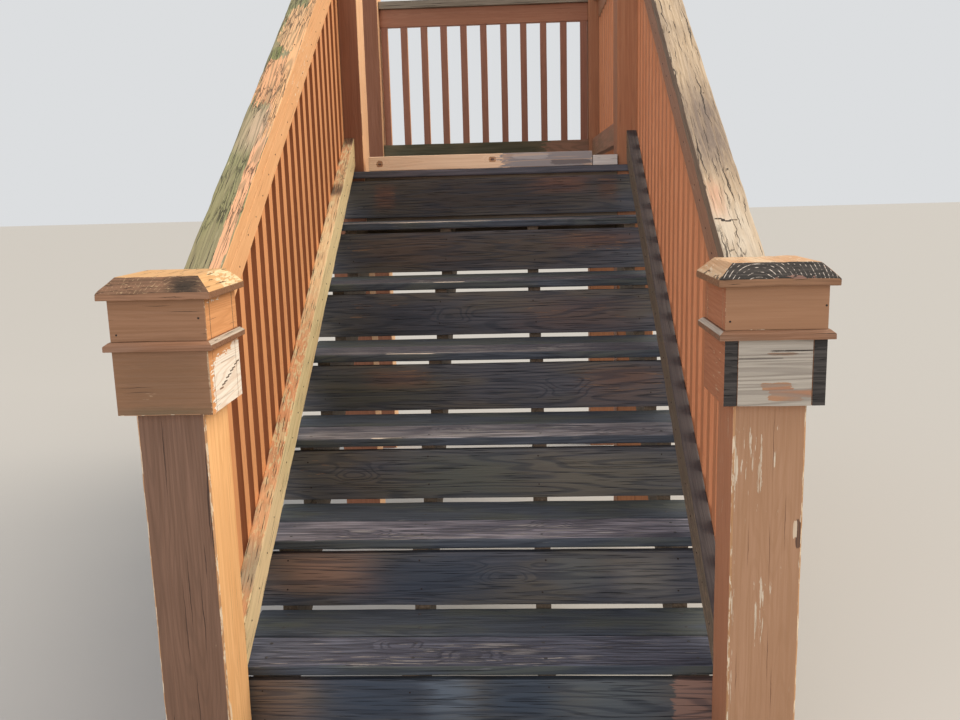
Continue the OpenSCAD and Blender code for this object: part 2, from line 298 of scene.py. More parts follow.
def timber(name, lie, tone, deep, wood, crack, vein=0.5, patch=None, worn=0.1, flake=(42, 6), spots=(),
           stains=(), checks=(), figure=(70, 22, 0.25), knots=(), crazed=None, rings=None, rough=(0.6, 0.8),
           bump=0.5):
    """Weathered wood: two tones of finish along the grain, bare wood where it has gone, and checks.

    name says the finish, lie how the grain runs; tone and deep colour the finish, wood the bare
    wood and crack the checks. vein is the strength of the streaks, patch a colour and strength
    for broad patches, worn how much finish has gone and flake the length and width in mm of its
    flakes. figure is the width of the growth rings' pattern in mm, how many lines it has and how
    strong they are. rings is where the arcs on end grain have their middle (x and z in mm), their
    gap in mm, strength and colour. spots, stains and knots are marks."""
    made = bpy.data.materials.new(name)
    made.use_nodes = True
    tree = made.node_tree
    shader = tree.nodes["Principled BSDF"]
    where = put(tree, "ShaderNodeTexCoord").outputs["Object"]
    laid = put(tree, "ShaderNodeMapping", {}, {"Vector": where, "Rotation": lie})

    # Length and width in mm, and detail, of grain streaks, tone patches, flakes of finish and figure.
    # Real grain lines are 2 to 3 mm apart and would blur in the render, so they are drawn at 5 mm
    sizes = {"grain": (240, 5, 3), "broad": (380, 110, 2), "flake": (*flake, 4),
             "figure": (800, figure[0], 1)}
    waves = {}
    for index, (key, (long, wide, detail)) in enumerate(sizes.items()):
        spread = put(tree, "ShaderNodeVectorMath", {"operation": "MULTIPLY_ADD"},
                     {0: laid, 1: (1000 / long, 1000 / wide, 1000 / wide), 2: (index * 7.3, 0, index * 3.1)})
        waves[key] = put(tree, "ShaderNodeTexNoise", {}, {"Vector": spread, "Scale": 1.0, "Detail": detail,
                                                          "Roughness": 0.62})

    share = put(tree, "ShaderNodeMapRange", SMOOTH,
                {"Value": waves["grain"], "From Min": 0.35, "From Max": 0.65, "To Min": 0.0, "To Max": vein})
    shade = put(tree, "ShaderNodeMix", COLOURS, {0: share, 6: colour(tone), 7: colour(deep)}).outputs[2]
    if patch:
        share = put(tree, "ShaderNodeMapRange", SMOOTH,
                    {"Value": waves["broad"], "From Min": 0.42, "From Max": 0.62,
                     "To Min": 0.0, "To Max": patch[1]})
        shade = put(tree, "ShaderNodeMix", COLOURS, {0: share, 6: shade, 7: colour(patch[0])}).outputs[2]

    # Growth rings cut lengthwise: thin lines along the grain that bend round the knots
    lines = waves["figure"].outputs[0]
    for mark in knots:
        near = put(tree, "ShaderNodeMapRange", {"interpolation_type": "SMOOTHERSTEP"},
                   {"Value": distance(tree, where, mark), "From Min": 1.0, "From Max": 0.0,
                    "To Min": 0.0, "To Max": 0.28})
        lines = put(tree, "ShaderNodeMath", {"operation": "ADD"}, {0: lines, 1: near}).outputs[0]
    lines = put(tree, "ShaderNodeMath", {"operation": "MULTIPLY"}, {0: lines, 1: 2 * math.pi * figure[1]})
    lines = put(tree, "ShaderNodeMath", {"operation": "SINE"}, {0: lines})
    lines = put(tree, "ShaderNodeMapRange", SMOOTH,
                {"Value": lines, "From Min": 0.1, "From Max": 1.0, "To Min": 0.0, "To Max": figure[2]})

    # Growth rings cut across: arcs round a point of the end grain, bent by the tone patches
    if rings:
        x, z, gap, strength, line = rings
        flat = put(tree, "ShaderNodeVectorMath", {"operation": "SUBTRACT"}, {0: where, 1: at(x, 0, z)})
        flat = put(tree, "ShaderNodeVectorMath", {"operation": "MULTIPLY"}, {0: flat, 1: (1, 0.02, 1)})
        reach = put(tree, "ShaderNodeVectorMath", {"operation": "LENGTH"}, {0: flat}).outputs["Value"]
        reach = put(tree, "ShaderNodeMath", {"operation": "MULTIPLY"}, {0: reach, 1: 2000 * math.pi / gap})
        reach = put(tree, "ShaderNodeMath", {"operation": "MULTIPLY_ADD"},
                    {0: waves["broad"], 1: 26.0, 2: reach})
        reach = put(tree, "ShaderNodeMath", {"operation": "SINE"}, {0: reach})
        ring = put(tree, "ShaderNodeMapRange", SMOOTH,
                   {"Value": reach, "From Min": 0.8, "From Max": 1.0, "To Min": 0.0, "To Max": strength})
        some = put(tree, "ShaderNodeMapRange", SMOOTH,
                   {"Value": waves["flake"], "From Min": 0.46, "From Max": 0.62})
        ring = put(tree, "ShaderNodeMath", {"operation": "MULTIPLY", "use_clamp": True}, {0: ring, 1: some})
        shade = put(tree, "ShaderNodeMix", COLOURS, {0: ring, 6: shade, 7: colour(line)}).outputs[2]

    # Where the finish has gone: flakes of it anywhere, and more of them near each spot
    wear = waves["flake"]
    for mark in spots:
        near = put(tree, "ShaderNodeMapRange", SMOOTH,
                   {"Value": distance(tree, where, mark), "From Min": 1.15, "From Max": 0.6,
                    "To Min": 0.0, "To Max": mark[6]})
        wear = put(tree, "ShaderNodeMath", {"operation": "ADD"}, {0: wear, 1: near})
    edge = 0.74 - worn * 0.24
    bared = put(tree, "ShaderNodeMapRange", SMOOTH,
                {"Value": wear, "From Min": edge, "From Max": edge + 0.02})
    share = put(tree, "ShaderNodeMapRange", SMOOTH,
                {"Value": waves["grain"], "From Min": 0.4, "From Max": 0.7, "To Min": 0.0, "To Max": 0.4})
    bare = put(tree, "ShaderNodeMix", COLOURS, {0: share, 6: colour(wood), 7: colour(deep)}).outputs[2]
    shade = put(tree, "ShaderNodeMix", COLOURS, {0: bared, 6: shade, 7: bare}).outputs[2]

    # Stains, with a ragged hard edge, or a soft one where a strength is given
    for mark in stains:
        code, *soft = mark[6:]
        apart = put(tree, "ShaderNodeMath", {"operation": "ADD"},
                    {0: distance(tree, where, mark), 1: waves["flake"]})
        near = put(tree, "ShaderNodeMapRange", SMOOTH,
                   {"Value": apart, "From Min": 1.9 if soft else 1.46, "From Max": 0.7 if soft else 1.40,
                    "To Min": 0.0, "To Max": soft[0] if soft else 1.0})
        shade = put(tree, "ShaderNodeMix", COLOURS, {0: near, 6: shade, 7: colour(code)}).outputs[2]
    shade = put(tree, "ShaderNodeMix", COLOURS, {0: lines, 6: shade, 7: colour(deep)}).outputs[2]

    # Checks, and where asked for a network of short cracks in cells of a length and width in mm
    split = put(tree, "ShaderNodeValue").outputs[0]
    split.default_value = 0.0
    for layer in checks:
        split = put(tree, "ShaderNodeMath", {"operation": "MAXIMUM"},
                    {0: split, 1: check_lines(tree, laid, *layer)}).outputs[0]
    if crazed:
        long, wide, least = crazed
        cells = put(tree, "ShaderNodeVectorMath", {"operation": "MULTIPLY"},
                    {0: laid, 1: (1000 / long, 1000 / wide, 1000 / wide)})
        cells = put(tree, "ShaderNodeVectorMath", {"operation": "ADD"},
                    {0: cells, 1: waves["flake"].outputs[1]})
        cells = put(tree, "ShaderNodeTexVoronoi", {"feature": "DISTANCE_TO_EDGE"},
                    {"Vector": cells, "Scale": 1.0})
        cells = put(tree, "ShaderNodeMapRange", SMOOTH,
                    {"Value": cells, "From Min": 0.07, "From Max": 0.02})
        some = put(tree, "ShaderNodeMapRange", SMOOTH,
                   {"Value": waves["broad"], "From Min": least, "From Max": least + 0.06,
                    "To Min": 0.0, "To Max": 0.8})
        cells = put(tree, "ShaderNodeMath", {"operation": "MULTIPLY"}, {0: cells, 1: some})
        split = put(tree, "ShaderNodeMath", {"operation": "MAXIMUM"}, {0: split, 1: cells}).outputs[0]
    share = put(tree, "ShaderNodeMath", {"operation": "MULTIPLY"}, {0: split, 1: 0.85})
    shade = put(tree, "ShaderNodeMix", COLOURS, {0: share, 6: shade, 7: colour(crack)}).outputs[2]
    tree.links.new(shade, shader.inputs["Base Color"])

    gloss = put(tree, "ShaderNodeMapRange", {}, {"Value": waves["grain"], "From Min": 0.3, "From Max": 0.75,
                                                 "To Min": rough[0], "To Max": rough[1]})
    tree.links.new(gloss.outputs[0], shader.inputs["Roughness"])
    shader.inputs["Specular IOR Level"].default_value = 0.35
    height = put(tree, "ShaderNodeMath", {"operation": "MULTIPLY_ADD"},
                 {0: lines, 1: -0.8, 2: waves["grain"]})
    height = put(tree, "ShaderNodeMath", {"operation": "MULTIPLY_ADD"}, {0: split, 1: -1.6, 2: height})
    height = put(tree, "ShaderNodeMath", {"operation": "MULTIPLY_ADD"}, {0: bared, 1: -0.35, 2: height})
    relief = put(tree, "ShaderNodeBump", {}, {"Strength": bump, "Distance": 0.0016, "Height": height})
    tree.links.new(relief.outputs[0], shader.inputs["Normal"])
    return made


# Left front: matt brown stain, darkened as painted shade and darker still at its foot, with fine upright
# checks
newel_front_left = timber(
    "brown_stain_painted_shade", UPRIGHT, "#775845", "#5C4434", "#C9AC8A", "#2B1C16", vein=0.55, worn=0.0,
    patch=("#6A4D3B", 0.6), checks=((0.4, 11, 260, 0.8, 0.5), (0.3, 27, 420, 1.4, 0.35)),
    figure=(60, 16, 0.3), bump=0.5, stains=[(-590, 0, 40, 90, 20, 80, "#4A443A", 0.5)])

# Left inner side: the same stain painted sunlit, a warm bright orange, chalky where its corner peels
newel_side_left = timber(
    "orange_stain_painted_sunlit", UPRIGHT, "#F9C489", "#DCA268", "#F0DCBE", "#6A401F", vein=0.5, worn=0.0,
    patch=("#EFB679", 0.5), checks=((0.22, 14, 200, 0.6, 0.4),), figure=(50, 14, 0.3), bump=0.4,
    spots=[(-516, 4, 330, 12, 12, 50, 0.3), (-516, 6, 130, 20, 20, 160, 0.25)])

# Right front: faded to tan, with upright slivers of pale wood where the film has lifted
newel_front_right = timber(
    "peeling_tan_stain", UPRIGHT, "#A98163", "#97704F", "#CDBDA6", "#5A3A28", vein=0.45, worn=0.0,
    flake=(60, 4.5), patch=("#A1795A", 0.5), checks=((0.3, 12, 220, 0.6, 0.4),), figure=(60, 18, 0.22),
    bump=0.45,
    spots=[(520, 0, 500, 7, 30, 560, 0.16), (535, 0, 905, 22, 20, 75, 0.16),
           (566, 0, 880, 16, 20, 70, 0.17), (600, 0, 915, 20, 20, 55, 0.15),
           (584, 0, 560, 24, 20, 110, 0.13), (560, 0, 700, 30, 20, 200, 0.07),
           (655, 0, 760, 6, 20, 260, 0.2), (545, 0, 180, 30, 20, 160, 0.1)],
    stains=[(648, 0, 735, 6, 20, 30, "#5E4436"), (641, 0, 745, 4, 20, 18, "#C9B49A")])

# Right inner side: less faded, so redder, with a few small flakes gone
newel_side_right = timber(
    "reddish_stain_in_shade", UPRIGHT, "#B57E5E", "#9F6A4B", "#CDB79C", "#5A3A28", vein=0.45, worn=0.0,
    patch=("#AC7555", 0.5), checks=((0.1, 16, 220, 0.6, 0.4),), bump=0.4, flake=(60, 5),
    spots=[(516, 20, 960, 20, 50, 60, 0.14), (516, 110, 820, 20, 50, 100, 0.1)])

# Corners: rubbed through to pale wood in short lengths, which draws a broken light line
arris_worn = timber(
    "worn_arris", UPRIGHT, "#C2946B", "#9A7048", "#E2CFB2", "#4A2E1A", vein=0.6, worn=0.85, flake=(30, 6),
    bump=0.5)

for hand, front, inner, seed in (("left", newel_front_left, newel_side_left, 2),
                                 ("right", newel_front_right, newel_side_right, 3)):
    piece = dressed("newel_post_" + hand, Z, step=0.03, ease=0.0025, wobble=0.0009, seed=seed)
    # On the left post the inner side carries painted sunlight and the front painted shade
    coat(piece, "stained_post", inner, (lambda n, c: n.y < -0.7, front),
         (lambda n, c: eased(n) and n.y < -0.1, arris_worn))

# Bands and mouldings round the newels' heads
# Softwood boards nailed round each post in two rows with a bevelled strip between them. The
# stain is thin here: the right lower band's front board is bare and silver-grey.

# Left fronts: matt brown darkened as painted shade, dirty green-brown along the lower edge, scratched pale in
# two places
band_front_left = timber(
    "band_stain_painted_shade", ACROSS, "#8E674A", "#775337", "#C9AC8A", "#2E1F18", vein=0.4, worn=0.0,
    patch=("#845E3F", 0.5), checks=((0.1, 9, 90, 0.6, 0.3),), figure=(45, 10, 0.2), bump=0.4,
    spots=[(-612, -25, 1046, 30, 20, 6, 0.13), (-600, -25, 1036, 34, 20, 5, 0.14),
           (-491, -25, 1070, 4, 10, 70, 0.4)],
    stains=[(-586, -25, 1003, 100, 20, 14, "#55503A", 0.85),
            (-586, -25, 1060, 140, 20, 90, "#6E5139", 0.7)])

# The crack is nine short marks in a rising row, every other one a little higher
side_crack = [(-491, 36 + 14 * i, 1040 + 4.4 * i + i % 2 * 1.2, 20, 12, 1.7, "#66584B") for i in range(9)]

# Left inner sides: bright orange as painted sunlight, and below a chalky white patch crossed by one rising
# crack
band_side_left = timber(
    "band_stain_painted_sunlit", BACKWARD, "#DDA06C", "#C08351", "#E6DCCB", "#5A4C44", vein=0.4, worn=0.0,
    flake=(24, 7), patch=("#CF9058", 0.4), checks=((0.12, 9, 90, 0.5, 0.3),), bump=0.5,
    spots=[(-491, 20, 1220, 30, 60, 8, 0.2)],
    stains=[(-491, 84, 1052, 30, 100, 60, "#F0E7D8"), (-491, 150, 1060, 30, 50, 65, "#EFE5D5"),
            (-491, 30, 1024, 30, 40, 32, "#F0E7D8"), (-491, 140, 1014, 30, 50, 20, "#EFE5D5"),
            (-491, 90, 1090, 30, 50, 1.2, "#C9BEB0"), (-491, 70, 1020, 30, 50, 1.2, "#CFC4B6"),
            *side_crack])

# Right fronts: an even, faded tan with hardly any grain
band_front_right = timber(
    "tan_stain_on_band", ACROSS, "#9D7455", "#8C6447", "#CDB79C", "#4A3122", vein=0.35, worn=0.0,
    patch=("#946C4E", 0.4), checks=((0.05, 12, 90, 0.5, 0.3),), figure=(45, 10, 0.2), bump=0.3)

# Right inner sides: redder and a little flaked
band_side_right = timber(
    "reddish_stain_on_band", BACKWARD, "#AE7555", "#985F42", "#C9AE90", "#4A3122", vein=0.4, worn=0.0,
    flake=(30, 5), patch=("#A36A49", 0.4), checks=((0.15, 10, 90, 0.5, 0.3),), bump=0.4,
    spots=[(491, 40, 1060, 20, 50, 60, 0.14)])

# Right lower front: bare and silver-grey, ribbed by its rings, with scraps of stain left
silvered = timber(
    "silver_grey_bare_softwood", ACROSS, "#B5AB9C", "#857B70", "#C2B8A9", "#3F3833", vein=0.5, worn=0.1,
    flake=(26, 9), patch=("#A69C8E", 0.4), checks=((0.35, 9, 150, 0.45, 0.35),), figure=(26, 7, 0.6),
    bump=0.8,
    stains=[(590, -25, 1038, 30, 20, 8, "#A37A5C"), (600, -25, 1028, 24, 20, 10, "#A0755A"),
            (606, -25, 1016, 36, 20, 7, "#A37A5C"), (634, -25, 1024, 28, 20, 8, "#A0755A"),
            (600, -25, 1100, 30, 20, 3, "#8F7560"), (560, -25, 1092, 50, 20, 1.6, "#2E2823"),
            (620, -25, 1106, 45, 20, 1.6, "#39322C")])

# Ends of the side boards beside it: open end grain that has soaked up water and gone black
end_grain = timber(
    "dark_end_grain", ACROSS, "#4A4541", "#2A2725", "#6E655D", "#151312", vein=0.9, worn=0.3,
    checks=((0.5, 9, 40, 0.7, 0.5),), figure=(10, 4, 0.6), rough=(0.75, 0.9), bump=0.9)

# Mouldings: thin stain over ribbed grain, dull and streaky
moulding_finish = timber(
    "worn_stain_on_moulding", ACROSS, "#936A4F", "#775239", "#B39A7E", "#2E241C", vein=0.7, worn=0.1,
    patch=("#7E6350", 0.6), checks=((0.35, 7, 110, 0.6, 0.4),), figure=(14, 6, 0.5), bump=0.8)

# Their bevels at the sides: washed bare, pale grey and dry
moulding_ends = timber(
    "bare_moulding_ends", BACKWARD, "#C2B5A4", "#8D8275", "#D2C7B6", "#3A322B", vein=0.8, worn=0.2,
    patch=("#9A7B62", 0.5), checks=((0.5, 8, 90, 0.7, 0.4),), bump=0.8)

# Eased edges: rubbed light in short lengths
band_arris = timber(
    "worn_band_edge", ACROSS, "#A67E5C", "#7A5A40", "#D9C4A6", "#2E2018", vein=0.7, worn=0.55,
    flake=(18, 6), bump=0.5)

for hand, front_finish, side_finish, seed in (("left", band_front_left, band_side_left, 4),
                                              ("right", band_front_right, band_side_right, 5)):
    for part in ("upper_band", "lower_band"):
        piece = dressed("newel_%s_%s" % (part, hand), X, step=0.03, ease=0.0014, wobble=0.0009, seed=seed)
        sides = [(lambda n, c: n.y < -0.7, front_finish),
                 (lambda n, c: eased(n) and n.y < -0.1, band_arris)]
        if part == "lower_band" and hand == "right":
            # The front board ends 69 mm from its middle, and the side boards' ends start at 70 mm
            middle, between = at(586, 0, 0)[0], 0.0705
            sides.append((lambda n, c: n.y < -0.7 and abs(c.x - middle) < between, silvered))
            sides.append((lambda n, c: n.y < -0.7 and abs(c.x - middle) >= between, end_grain))
        # On the left newel the band sides carry painted sunlight and the fronts painted shade
        coat(piece, "stained_post", side_finish, *sides)
    piece = dressed("newel_moulding_" + hand, X, step=0.03, ease=0.0014, wobble=0.0012, seed=seed)
    coat(piece, "stained_post", moulding_finish, (lambda n, c: abs(n.x) > 0.5 and n.z > 0.2, moulding_ends))

# Cap blocks
# One thick softwood block on each newel with four bevels, its end grain towards the front. The
# stain has worn off the bevels, the rings stand out and the sides have checked.

# Left front bevel: brown end grain with broken pale rings and one damp black corner
cap_end_left = timber(
    "scratched_cap_end", ACROSS, "#85624A", "#5A4331", "#B99A74", "#1F1712", vein=0.8, worn=0.5,
    flake=(15, 4), patch=("#6B4F3A", 0.6), checks=((0.5, 7, 34, 0.7, 1.6),), figure=(30, 6, 0.0),
    crazed=(26, 9, 0.6), rings=(-516, 1196, 7.5, 0.8, "#B0936F"), bump=1.0,
    stains=[(-524, -20, 1250, 34, 60, 24, "#33291F", 0.95)])

# Left top and side bevels: straw-coloured, dry and openly checked
cap_top_left = timber(
    "sun_bleached_cap_top", BACKWARD, "#D5A873", "#B78A58", "#E2CFA4", "#3A2B1E", vein=0.6, worn=0.3,
    flake=(30, 6), patch=("#C89A66", 0.5), checks=((0.5, 15, 90, 1.4, 0.9),), bump=0.8,
    spots=[(-490, 110, 1250, 30, 80, 40, 0.2)])

# Right front bevel: black, with the hard rings worn pale so that they show as arcs
cap_end_right = timber(
    "black_cap_end_with_pale_rings", ACROSS, "#332D29", "#1B1816", "#8E6A5C", "#0F0D0C", vein=0.8,
    worn=0.0, flake=(16, 7), patch=("#4A3C36", 0.6), checks=((0.35, 9, 40, 1.1, 1.4),),
    figure=(30, 6, 0.0), rings=(548, 1214, 7.4, 0.95, "#D8CABB"), bump=1.0,
    spots=[(600, -20, 1238, 30, 50, 14, 0.2), (640, -20, 1236, 35, 50, 14, 0.2)])

# Right top and side bevels: tan, half of it bare and pale
cap_top_right = timber(
    "bare_tan_cap_side", BACKWARD, "#CFA379", "#B0835B", "#E0CDB0", "#3F2E22", vein=0.6, worn=0.55,
    flake=(26, 8), patch=("#DCC5A3", 0.7), checks=((0.3, 14, 110, 0.8, 0.7),), bump=0.7)

# Upright edges: brown stain that has lasted under the overhang, checked along the grain
cap_edge = timber(
    "stain_left_on_cap_edge", ACROSS, "#8F694C", "#6F4F38", "#B79A7E", "#2B1E16", vein=0.6, worn=0.15,
    flake=(20, 5), patch=("#8A6148", 0.5), checks=((0.3, 7, 70, 0.6, 0.5),), bump=0.6)

for hand, end_finish, top_finish, seed in (("left", cap_end_left, cap_top_left, 6),
                                           ("right", cap_end_right, cap_top_right, 7)):
    piece = dressed("newel_cap_" + hand, X, step=0.012, ease=0.0026, wobble=0.0022, seed=seed)
    coat(piece, "cap_wood", top_finish,
         (lambda n, c: abs(n.y) > 0.35 and n.z > 0.2, end_finish),
         (lambda n, c: n.z < 0.2, cap_edge))

# Stringers, carriages and landing frame
# Softwood planks on edge, two of each sawn to the steps, the others nailed up as rims and
# joists under the landing. They were never stained and have weathered grey-brown.

# Sawn softwood gone grey-brown in the rain, dull, with long checks along the grain
plank_finish = {}
for way, lie in (("across", ACROSS), ("uphill", UPHILL), ("backward", BACKWARD)):
    plank_finish[way] = timber(
        "weathered_plank_" + way, lie, "#7A6854", "#574939", "#948470", "#241C16", vein=0.7, worn=0.3,
        patch=("#675A4A", 0.6), checks=((0.35, 20, 320, 0.9, 0.4),), figure=(80, 16, 0.35), bump=0.6)
for node, axis, way in (("stringer_left", Y, "uphill"), ("stringer_right", Y, "uphill"),
                        ("carriages", Y, "uphill"), ("landing_rim_front", X, "across"),
                        ("landing_rim_back", X, "across"), ("landing_rim_sides", Y, "backward"),
                        ("landing_joists", Y, "backward")):
    coat(dressed(node, axis, step=0.12, ease=0.0015, wobble=0.0007, seed=8), "framing", plank_finish[way])

# Treads
# Two rounded softwood deck boards each, screwed to the stringers and carriages. Their dark
# blue-grey stain has worn to purple-grey wood on the front boards, and is mossy and black on
# the back ones.

# Back boards: dark blue-grey stain, damp and faintly mossy; on all front faces the same dark colour is
# painted shade under the nosings
back_board_and_nosing_shade = timber(
    "damp_dark_deck_stain_and_nosing_shade", ACROSS, "#454B54", "#292F38", "#5F6062", "#111318", vein=0.7, worn=0.3,
    flake=(90, 6), patch=("#4A4D45", 0.7), checks=((0.35, 10, 260, 0.7, 0.3),), figure=(60, 12, 0.5),
    bump=0.9)

# The front boards' tones from the foot up, and the pale stretch of four nosings, worn bare wood
# with painted sunlight on it: where its middle is along x and half its length, in mm
front_tones = ("#5C6272", "#686B79", "#8C8892", "#A5A0A2", "#878283", "#575355", "#877F7E")
nose_wear_and_sunlight = {4: (-264, 45), 5: (-232, 80), 6: (-166, 100), 7: (-185, 200)}


def nosing_y(k):
    """The front edge of tread k, in mm from the newels' fronts."""
    return TREAD_2 + (k - 2) * GOING


for k, tone in enumerate(front_tones, 1):
    nose = nosing_y(k)
    pale_marks = [(-390 + 83 * (k * 3 % 8), nose + 62, k * RISE, 30, 10, 10, "#9A9694", 0.5),
                  (330 - 71 * (k * 5 % 6), nose + 96, k * RISE, 40, 9, 10, "#96928F", 0.5),
                  (90 + 37 * (k * 2 % 7), nose + 38, k * RISE, 25, 8, 10, "#9F9B98", 0.5)]
    # The pale nosing stretch is bare wood with painted sunlight on it
    if k in nose_wear_and_sunlight:
        pale_marks.append((nose_wear_and_sunlight[k][0], nose, k * RISE, nose_wear_and_sunlight[k][1], 7, 5, "#D3C6B4"))
    # Front boards: walked through to grey wood along the grain, with pale scuffs, each its own tone
    finish = timber(
        "worn_dark_deck_stain_%d" % k, ACROSS, tone, "#2E303B", "#9A958F", "#121217", vein=0.8, worn=0.42,
        flake=(110, 4), patch=("#43434F", 0.7),
        checks=((0.4, 9, 240, 0.8, 0.3), (0.6, 5.5, 110, 0.8, 0.3)), figure=(40, 9, 0.6), bump=1.0,
        knots=[(-430 + 137 * (k * 5 % 7), nose + 45, k * RISE, 100, 50, 30),
               (360 - 91 * (k * 3 % 7), nose + 95, k * RISE, 80, 45, 30)],
        spots=[(-20 * k, nose + 20, k * RISE, 360, 26, 20, 0.08),
               (140 - 60 * (k % 3), nose + 75, k * RISE, 200, 30, 20, 0.08)],
        stains=pale_marks)
    piece = dressed("tread_%d" % k, X, step=0.06, ease=0.003, wobble=0.0011, shift=0.0006, seed=20 + k)
    between_boards = at(0, nose + 143, 0)[1]
    # Front faces take the back boards' dark colour as painted shade on the nosings
    coat(piece, "tread_wood", finish, (lambda n, c: n.y < -0.6 or c.y > between_boards, back_board_and_nosing_shade))

# Risers
# Eight softwood boards nailed to the front edges of the cuts, with a gap above and below each.
# They keep a nearly black blue stain, with brown remains of an older coat, grey wear and some
# green.

# Blue-black stain that has gone brown, grey or greenish wherever a coat has worn off
riser_finish = timber(
    "dark_riser_stain", ACROSS, "#565559", "#2C313A", "#84664F", "#101217", vein=0.6, worn=0.0,
    flake=(80, 7), patch=("#5F5749", 0.65), checks=((0.3, 10, 220, 0.7, 0.35), (0.5, 6, 120, 0.7, 0.3)),
    figure=(50, 9, 0.5), bump=0.7,
    knots=[(-360, 701, 650, 90, 20, 45), (240, 977, 825, 100, 20, 50), (-120, 1253, 1020, 90, 20, 45),
           (60, 425, 470, 100, 20, 50)],
    spots=[(-430, 701, 665, 100, 20, 30, 0.15), (400, 977, 850, 150, 20, 50, 0.18),
           (-330, 1253, 1035, 160, 20, 35, 0.14), (300, 1253, 1030, 200, 20, 40, 0.13),
           (440, 1805, 1430, 50, 20, 40, 0.2), (-405, 1805, 1405, 50, 20, 50, 0.22),
           (265, 1805, 1435, 110, 20, 35, 0.22), (-150, 1805, 1440, 140, 20, 20, 0.14),
           (-430, 1529, 1225, 100, 20, 30, 0.16), (380, 1529, 1235, 150, 20, 40, 0.15),
           (60, 1529, 1240, 100, 20, 20, 0.12), (-250, 977, 860, 120, 20, 40, 0.17)],
    stains=[(0, 1805, 1410, 450, 20, 100, "#3B332F", 0.85), (-330, 977, 830, 200, 20, 70, "#4F4D3E", 0.7),
            (40, 1529, 1215, 340, 20, 80, "#4E4338", 0.75),
            (-300, 1529, 1215, 200, 20, 70, "#57463D", 0.7),
            (-260, 1253, 1010, 200, 20, 70, "#40424A", 0.7),
            (-220, 149, 300, 160, 20, 90, "#333E4C", 0.85), (100, 149, 300, 120, 20, 90, "#35414F", 0.85),
            (-455, 149, 300, 90, 20, 90, "#6C5B4F", 0.85), (-65, 149, 295, 60, 20, 70, "#5E6873", 0.75),
            (300, 149, 300, 130, 20, 80, "#585E60", 0.7), (492, 149, 285, 62, 20, 75, "#86695C"),
            (-400, 425, 480, 150, 20, 60, "#8E6F5E", 0.85),
            (-120, 425, 460, 200, 20, 80, "#303946", 0.85), (240, 425, 475, 70, 20, 60, "#5E5F5B", 0.7),
            (400, 425, 460, 80, 20, 60, "#77726A", 0.7), (-60, 701, 640, 200, 20, 80, "#55574E", 0.8),
            (330, 701, 640, 200, 20, 80, "#6A6559", 0.75), (410, 977, 825, 130, 20, 70, "#6B5950", 0.7),
            (300, 1253, 1010, 220, 20, 60, "#62504A", 0.7),
            (265, 1805, 1440, 120, 20, 35, "#684A3E", 0.8),
            (-405, 1805, 1405, 40, 20, 50, "#684A3E", 0.8), (445, 1805, 1425, 40, 20, 50, "#5C4338", 0.8),
            (380, 1529, 1240, 160, 20, 30, "#684C40", 0.7), (-270, 977, 862, 100, 20, 30, "#6E5244", 0.7),
            (420, 977, 860, 100, 20, 30, "#6E5244", 0.6)])

piece = dressed("risers", X, step=0.08, ease=0.0015, wobble=0.0009, shift=0.0006, seed=30)
coat(piece, "riser_wood", riser_finish)

# Lower rails
# Softwood planks on edge that run up from the newels' back faces to the landing posts. The left
# one's stain flakes off pale wood; the right one is dark grey, brown at its foot.

# Left top: orange stain in flakes over pale, finely cracked wood, with dark damp places and two broad pale
# patches of painted sunlight
low_top_left = timber(
    "flaking_orange_stain", UPHILL, "#DFA679", "#AF7C55", "#D9C699", "#2A2019", vein=0.65, worn=0.92,
    flake=(24, 8), patch=("#BFA078", 0.6), checks=((0.5, 8, 80, 1.0, 0.8),), crazed=(20, 8, 0.6),
    bump=1.0,
    # The broad pale patch high up and the paler one at the foot are painted sunlight
    stains=[(-535, 1250, 1225, 50, 340, 250, "#EFD5A6", 0.75),
            (-535, 400, 640, 50, 120, 100, "#EDBE90", 0.5), (-535, 262, 548, 50, 60, 70, "#A79A80", 0.9),
            (-542, 246, 538, 30, 6, 10, "#241C15"), (-533, 268, 552, 30, 6, 10, "#241C15"),
            (-530, 1540, 1420, 50, 35, 50, "#5E4C3C", 0.95),
            (-535, 1812, 1610, 50, 40, 60, "#3F2E25", 0.9)])

# Left inner side: bare, dry and straw-coloured, with two broad paler patches of painted sunlight
low_side_left = timber(
    "straw_bare_wood", UPHILL, "#E6D3A2", "#BFA878", "#EBDFB8", "#3F3424", vein=0.6, worn=0.3,
    patch=("#D3B384", 0.45), checks=((0.4, 9, 150, 0.9, 0.5),), bump=0.8,
    # Both broad pale patches are painted sunlight
    stains=[(-516, 1420, 1270, 30, 360, 260, "#F0DBAA", 0.8),
            (-516, 340, 560, 30, 240, 200, "#F0D3A6", 0.75)])

# Right top: dark grey and matt
low_top_right = timber(
    "dark_grey_matt_rail", UPHILL, "#504845", "#373130", "#6E6055", "#181514", vein=0.7, worn=0.1,
    patch=("#463E3D", 0.6), checks=((0.3, 12, 200, 0.7, 0.4),), bump=0.7)

# Right inner side: olive brown, rubbed lighter near its foot
low_side_right = timber(
    "olive_brown_weathered_rail", UPHILL, "#7E6E5C", "#5A4E42", "#9C8670", "#221E1A", vein=0.8, worn=0.25,
    patch=("#655B4C", 0.6), checks=((0.3, 12, 200, 0.7, 0.4),), bump=0.7,
    spots=[(516, 260, 520, 20, 350, 240, 0.12)])

piece = dressed("lower_rail_left", Y, step=0.03, ease=0.0035, wobble=0.0016, seed=31)
coat(piece, "lower_rail_light", low_top_left, (lambda n, c: n.x > 0.6, low_side_left))
piece = dressed("lower_rail_right", Y, step=0.03, ease=0.0035, wobble=0.0016, seed=32)
coat(piece, "lower_rail_dark", low_top_right, (lambda n, c: n.x < -0.6, low_side_right))

